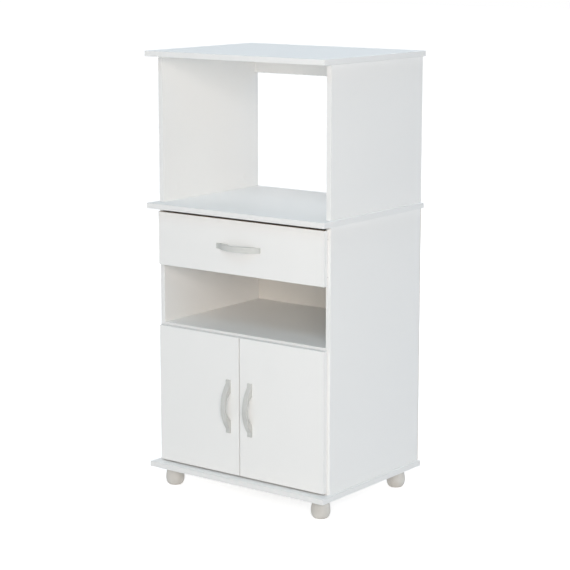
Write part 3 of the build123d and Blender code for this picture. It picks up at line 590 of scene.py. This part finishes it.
def foot_rings(belly_radius, height):
    """Radius and height up a foot: a quarter ellipse to the belly, then an arc to the top."""
    swell = belly_radius - FOOT_BASE_RADIUS
    rings = []
    for step in range(1, FOOT_STEPS + 1):
        turn = QUARTER_TURN * step / FOOT_STEPS
        radius = FOOT_BASE_RADIUS + swell * math.sin(turn)
        rings.append((radius, FOOT_BELLY_HEIGHT * (1.0 - math.cos(turn))))
    rise = height - FOOT_BELLY_HEIGHT
    fall = belly_radius - FOOT_TOP_RADIUS
    arc = (rise**2 + fall**2) / (2.0 * fall)
    for step in range(1, FOOT_STEPS + 1):
        up = rise * step / FOOT_STEPS
        rings.append((belly_radius - arc + math.sqrt(arc**2 - up**2), FOOT_BELLY_HEIGHT + up))
    return rings


def size_ring(ratio, level):
    """Widens or narrows the selected ring about the foot's axis."""
    bpy.ops.transform.resize(value=(ratio, ratio, 1.0), center_override=(0.0, 0.0, level))


def turn_foot():
    """The barrel foot on the origin, drawn up ring by ring, with its counterbore from below."""
    low, high = node_box(FOOT_NODES[0])
    belly_radius, height = (high.x - low.x) / 2, high.z - low.z
    bpy.ops.mesh.primitive_circle_add(
        vertices=FOOT_SIDES, radius=FOOT_BASE_RADIUS, fill_type="NOTHING"
    )
    foot = begin("foot_pattern")
    radius, level = FOOT_BASE_RADIUS, 0.0
    for next_radius, next_level in foot_rings(belly_radius, height):
        extrude(0.0, 0.0, next_level - level)
        size_ring(next_radius / radius, next_level)
        radius, level = next_radius, next_level
    bpy.ops.mesh.edge_face_add()
    pick(foot, lambda place: place.z < ON_THE_FLOOR)
    extrude(0.0, 0.0, 0.0)
    size_ring(FOOT_BORE_RADIUS / FOOT_BASE_RADIUS, 0.0)
    extrude(0.0, 0.0, height - FOOT_WEB)
    bpy.ops.mesh.edge_face_add()
    close_up()
    round_edges(foot, FOOT_ROUND, FOOT_ROUND_STEPS, FOOT_SHARP_ANGLE)
    return foot


def make_feet():
    """Four turned feet in place of the plain ones."""
    pattern = turn_foot()
    finish = FITTING_FINISHES["foot_plastic"]
    for node in FOOT_NODES:
        low, high = node_box(node)
        place = Matrix.Translation(((low.x + high.x) / 2, (low.y + high.y) / 2, low.z))
        placed_copy(pattern, "turned_" + node, place, finish, "carcass", node)
    put_away(pattern)


make_feet()


# ---------------------------------------------------------------- handles
HANDLE_TAB = 0.004  # thickness of the flat ends
HANDLE_TAB_LENGTH = 0.011
HANDLE_STRIP = 0.004  # thickness of the bow in its middle
HANDLE_OPENING = 0.077  # length of the finger space
HANDLE_END_WIDTH = 0.0144
HANDLE_STEPS = 28  # cross-sections over the opening
SHOULDER_STEPS = 5  # and between the opening and a flat end
HANDLE_ROUND = 0.0016
HANDLE_ROUND_STEPS = 4
HANDLE_SHARP_ANGLE = math.radians(40.0)
LYING = Matrix(((1, 0, 0), (0, -1, 0), (0, 0, -1))).to_4x4()
UPRIGHT = Matrix(((0, 0, 1), (0, -1, 0), (1, 0, 0))).to_4x4()


def rise_at(along, half_chord, rise):
    """Height of an arc over its chord, at a distance from the middle."""
    radius = (half_chord**2 + rise**2) / (2.0 * rise)
    return rise - radius + math.sqrt(radius**2 - along**2)


def handle_stations(half_length, rise, width):
    """Place along the bow, underside, top and width of each cross-section, left to right."""
    shoulder = half_length - HANDLE_TAB_LENGTH
    opening = HANDLE_OPENING / 2
    places = [-half_length, -shoulder, -opening]
    places += [
        -opening * math.cos(math.pi * step / HANDLE_STEPS) for step in range(1, HANDLE_STEPS)
    ]
    places += [opening, shoulder, half_length]
    between = [
        shoulder - (shoulder - opening) * step / SHOULDER_STEPS
        for step in range(1, SHOULDER_STEPS)
    ]
    places = sorted(places + between + [-place for place in between])
    stations = []
    for along in places:
        reach = abs(along)
        under, over = 0.0, HANDLE_TAB
        if reach < opening:
            under = rise_at(reach, opening, rise - HANDLE_STRIP)
        if reach < shoulder:
            over = HANDLE_TAB + rise_at(reach, shoulder, rise - HANDLE_TAB)
        swell = 1.0 - (reach / half_length) ** 2
        wide = HANDLE_END_WIDTH + (width - HANDLE_END_WIDTH) * swell
        stations.append((along, under, over, wide))
    return stations


def shape_handle():
    """The bow handle on the origin: its length along X, standing out along Y."""
    low, high = node_box("drawer_handle")
    half_length, rise, width = (high.x - low.x) / 2, high.y - low.y, high.z - low.z
    stations = handle_stations(half_length, rise, width)
    bpy.ops.mesh.primitive_plane_add(size=1.0, rotation=(0.0, math.pi / 2, 0.0))
    handle = begin("handle_pattern")
    along, under, over, wide = stations[0]
    bpy.ops.mesh.select_all(action="SELECT")
    bpy.ops.transform.resize(value=(1.0, over - under, wide), center_override=(0.0, 0.0, 0.0))
    bpy.ops.transform.translate(value=(along, (over + under) / 2, 0.0))
    for next_along, next_under, next_over, next_wide in stations[1:]:
        middle, next_middle = (over + under) / 2, (next_over + next_under) / 2
        extrude(next_along - along, next_middle - middle, 0.0)
        grow = (1.0, (next_over - next_under) / (over - under), next_wide / wide)
        bpy.ops.transform.resize(value=grow, center_override=(next_along, next_middle, 0.0))
        along, under, over, wide = next_along, next_under, next_over, next_wide
    close_up()
    round_edges(handle, HANDLE_ROUND, HANDLE_ROUND_STEPS, HANDLE_SHARP_ANGLE)
    return handle


def make_handles():
    """Three bow handles in place of the plain ones, the doors' standing upright."""
    pattern = shape_handle()
    finish = FITTING_FINISHES["silver_handle"]
    for node, body, turn in (
        ("drawer_handle", "drawer", LYING),
        ("door_handle_left", "left_door", UPRIGHT),
        ("door_handle_right", "right_door", UPRIGHT),
    ):
        low, high = node_box(node)
        seat = Matrix.Translation(((low.x + high.x) / 2, high.y, (low.z + high.z) / 2))
        placed_copy(pattern, "bow_" + node, seat @ turn, finish, body, node)
    put_away(pattern)


make_handles()


# ---------------------------------------------------------------- small trim
DISC_SIDES = 24
DISC_INSET = 0.35  # of the radius, twice, for the rings of a head
DISC_RIM = 0.9  # of the radius, past which the rim is turned down
DISC_SHARP_ANGLE = math.radians(60.0)
NAIL_HEAD_RADIUS = 0.0026
NAIL_HEAD_RISE = 0.0002
NAIL_ROUND_OFF = 0.9  # of the rise
NAIL_INSET = 0.006  # from the back panel's edges
NAILS_ACROSS = 5
NAILS_UP = 6
DOT_RADIUS = 0.0032
DOT_HEIGHT = 0.0009
DOT_ROUND_OFF = 0.5  # of the height
DOT_INSET = 0.024  # from the middle on a door, from the edges on the drawer front


def domed_disc(name, radius, height, round_off):
    """A low round head on the origin, facing +Y, its rim rounded over."""
    bpy.ops.mesh.primitive_cylinder_add(
        vertices=DISC_SIDES, radius=radius, depth=height, rotation=(math.pi / 2, 0.0, 0.0)
    )
    disc = begin(name)
    pick(disc, lambda place: place.y > 0.0)
    bpy.ops.mesh.inset(thickness=radius * DISC_INSET)
    bpy.ops.mesh.inset(thickness=radius * DISC_INSET)
    pick(disc, lambda place: place.y > 0.0 and place.xz.length > radius * DISC_RIM)
    bpy.ops.transform.translate(value=(0.0, -round_off, 0.0))
    close_up()
    bpy.ops.object.shade_smooth_by_angle(angle=DISC_SHARP_ANGLE)
    return disc


def evenly(start, end, count):
    """Places at equal steps from start to end."""
    return [start + (end - start) * step / (count - 1) for step in range(count)]


def make_back_nails():
    """Nail heads round the edge of the back panel and along the shelf behind it."""
    low, high = node_box("back_panel")
    shelf_low, shelf_high = node_box("niche_shelf")
    lines_x = evenly(low.x + NAIL_INSET, high.x - NAIL_INSET, NAILS_ACROSS)
    lines_z = evenly(low.z + NAIL_INSET, high.z - NAIL_INSET, NAILS_UP)
    rows_z = (lines_z[0], lines_z[-1], (shelf_low.z + shelf_high.z) / 2)
    places = [(x, z) for x in lines_x for z in rows_z]
    places += [(x, z) for x in (lines_x[0], lines_x[-1]) for z in lines_z[1:-1]]
    round_off = NAIL_HEAD_RISE * NAIL_ROUND_OFF
    pattern = domed_disc("nail_pattern", NAIL_HEAD_RADIUS, 2 * NAIL_HEAD_RISE, round_off)
    finish = FITTING_FINISHES["zinc_screw"]
    for number, (x, z) in enumerate(places, 1):
        place = Matrix.Translation((x, high.y, z))
        placed_copy(pattern, f"back_nail_{number:02d}", place, finish, "carcass")
    put_away(pattern)


def make_door_dots():
    """Clear dots behind the doors and the drawer front, which they close on."""
    pattern = domed_disc("dot_pattern", DOT_RADIUS, DOT_HEIGHT, DOT_HEIGHT * DOT_ROUND_OFF)
    shelf_low, _ = node_box("niche_shelf")
    side_low, _ = node_box("lower_side_right")
    drawer_low, drawer_high = node_box("drawer_front")
    places = []
    for side, door, body in ((-1, "door_left", "left_door"), (1, "door_right", "right_door")):
        _, high = node_box(door)
        places.append((side * DOT_INSET, high.y, (shelf_low.z + high.z) / 2, body))
    lap = (side_low.x + drawer_high.x) / 2
    for side in (-1, 1):
        for z in (drawer_low.z + DOT_INSET, drawer_high.z - DOT_INSET):
            places.append((side * lap, drawer_high.y, z, "drawer"))
    for number, (x, y, z, body) in enumerate(places, 1):
        place = Matrix.Translation((x, y + DOT_HEIGHT / 2, z))
        placed_copy(pattern, f"closing_dot_{number}", place, DOOR_DOT, body)
    put_away(pattern)


make_back_nails()
make_door_dots()


# ---------------------------------------------------------------- floor, world light and lamps
FLOOR_SIZE = 60.0
FLOOR_GREY = (0.80, 0.80, 0.80, 1.0)
FLOOR_GLOW = (0.68, 0.90)  # strength near the stand and far from it
FLOOR_GLOW_REACH = (1.2, 6.0)  # metres from the stand
PURE_WHITE = (1.0, 1.0, 1.0, 1.0)
SKY_COLOUR = (0.80, 0.90, 1.0, 1.0)
SKY_STRENGTH = 0.20
STAND_MIDDLE = (0.0, 0.0, 0.6)
BAY_AIM = (0.0, 0.0, 0.9)


def make_floor():
    """A pale floor that the camera sees as white where nothing shades it."""
    bpy.ops.mesh.primitive_plane_add(size=FLOOR_SIZE, location=(0.0, 0.0, 0.0))
    floor = bpy.context.active_object
    floor.name = "studio_floor"
    material, tree, shader = new_material("pale floor")
    shader.inputs["Base Color"].default_value = FLOOR_GREY
    shader.inputs["Roughness"].default_value = 0.9
    shader.inputs["Specular IOR Level"].default_value = 0.1
    shader.inputs["Emission Color"].default_value = PURE_WHITE
    away = add(tree, "ShaderNodeVectorMath", operation="LENGTH")
    near, far = FLOOR_GLOW_REACH
    weak, strong = FLOOR_GLOW
    glow = add(
        tree, "ShaderNodeMapRange", From_Min=near, From_Max=far, To_Min=weak, To_Max=strong
    )
    lift = add(tree, "ShaderNodeMath", operation="MULTIPLY")
    join(
        tree,
        (object_place(tree), away.inputs[0]),
        (away.outputs["Value"], glow.inputs["Value"]),
        (seen_directly(tree), lift.inputs[0]),
        (glow.outputs["Result"], lift.inputs[1]),
        (lift.outputs["Value"], shader.inputs["Emission Strength"]),
    )
    floor.data.materials.append(material)


def make_world():
    """A faint blue light from all round, which the camera and reflections see as white."""
    world = bpy.data.worlds.new("soft studio")
    bpy.context.scene.world = world
    world.use_nodes = True
    tree = world.node_tree
    sky = tree.nodes["Background"]
    sky.inputs["Color"].default_value = SKY_COLOUR
    sky.inputs["Strength"].default_value = SKY_STRENGTH
    white = add(tree, "ShaderNodeBackground", Color=PURE_WHITE, Strength=1.0)
    choose = tree.nodes.new("ShaderNodeMixShader")
    join(
        tree,
        (seen_directly(tree), choose.inputs["Fac"]),
        (sky.outputs["Background"], choose.inputs[1]),
        (white.outputs["Background"], choose.inputs[2]),
        (choose.outputs["Shader"], tree.nodes["World Output"].inputs["Surface"]),
    )


def lamp(name, place, size, power, colour, aim=STAND_MIDDLE, mirrored=True):
    """A soft square lamp, its size in metres and its power in watts, aimed at a point."""
    data = bpy.data.lights.new(name, "AREA")
    data.shape = "SQUARE"
    data.size = size
    data.energy = power
    data.color = colour
    made = bpy.data.objects.new(name, data)
    made.location = place
    made.rotation_euler = (Vector(aim) - Vector(place)).to_track_quat("-Z", "Y").to_euler()
    made.visible_glossy = mirrored
    bpy.context.scene.collection.objects.link(made)


make_floor()
make_world()
# the main lamp isn't mirrored: its reflection would streak the board tops in views from behind
lamp(
    "camera_side_softbox",
    (4.121, -5.468, 2.055),
    size=3.0,
    power=275.0,
    colour=(1.0, 0.92, 0.85),
    mirrored=False,
)
lamp("high_front_softbox", (0.6, -3.6, 4.9), size=2.0, power=50.0, colour=(0.70, 0.89, 1.0))
lamp("ceiling_softbox", (0.0, -0.4, 5.0), size=2.0, power=33.0, colour=(0.74, 0.88, 1.0))
lamp("rear_softbox", (0.1, 4.0, 3.5), size=2.0, power=60.0, colour=(0.80, 0.89, 1.0), aim=BAY_AIM)
lamp("left_rear_softbox", (-4.3, 2.4, 0.78), size=1.3, power=90.0, colour=(1.0, 0.99, 0.97))
lamp("side_softbox", (4.9, 0.6, 1.7), size=2.0, power=24.0, colour=(0.72, 0.87, 1.0))
